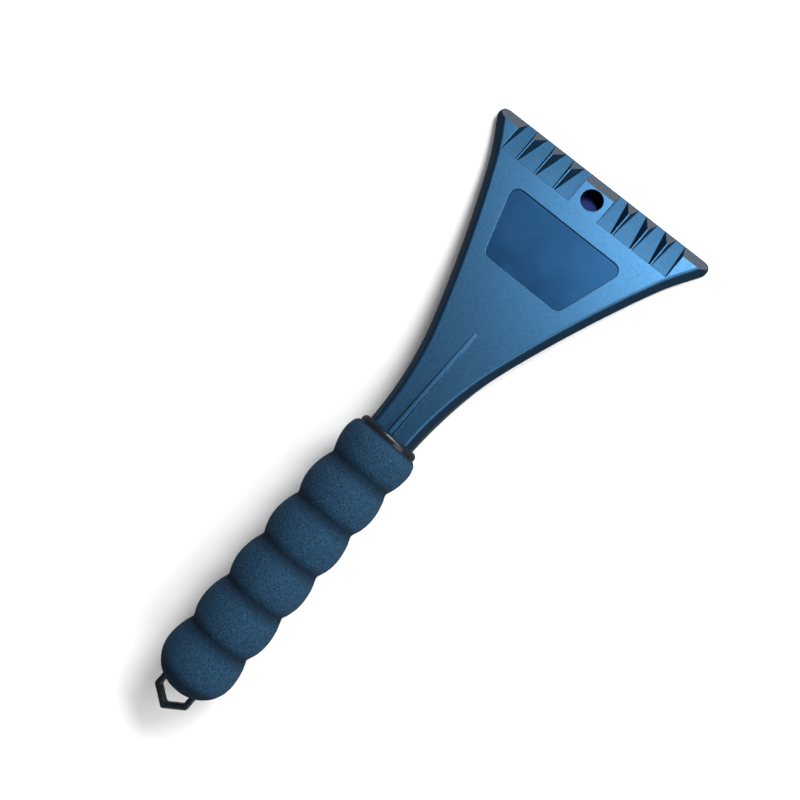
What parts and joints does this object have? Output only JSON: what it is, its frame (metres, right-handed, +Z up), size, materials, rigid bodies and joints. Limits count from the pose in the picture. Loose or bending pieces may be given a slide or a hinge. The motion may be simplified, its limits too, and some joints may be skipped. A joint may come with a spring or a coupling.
{
  "type": "windshield ice scraper",
  "caption": "Hand ice scraper: flared moulded head with a bevelled edge and ice-breaking teeth, recessed blank label panel, swelled foam grip and a pointed hang loop.",
  "frame": {"origin": "middle of the bounding box in plan, on the surface the scraper lies on, teeth up", "axes": "+X along the handle towards the blade, +Y towards the left corner of the blade seen from the grip, +Z up from the surface"},
  "size_m": [0.2766, 0.1098, 0.0322],
  "materials": {
    "head_plastic": "satin injection moulding, deep blue",
    "label_gloss": "smooth gloss film, blank, dark blue",
    "core_plastic": "semi-gloss black moulding",
    "grip_foam": "matt closed-cell foam, very dark blue"
  },
  "bodies": {
    "root": {"scraper_head": "head_plastic", "label_panel": "label_gloss", "handle_core": "core_plastic", "foam_grip": "grip_foam"}
  },
  "joints": []
}
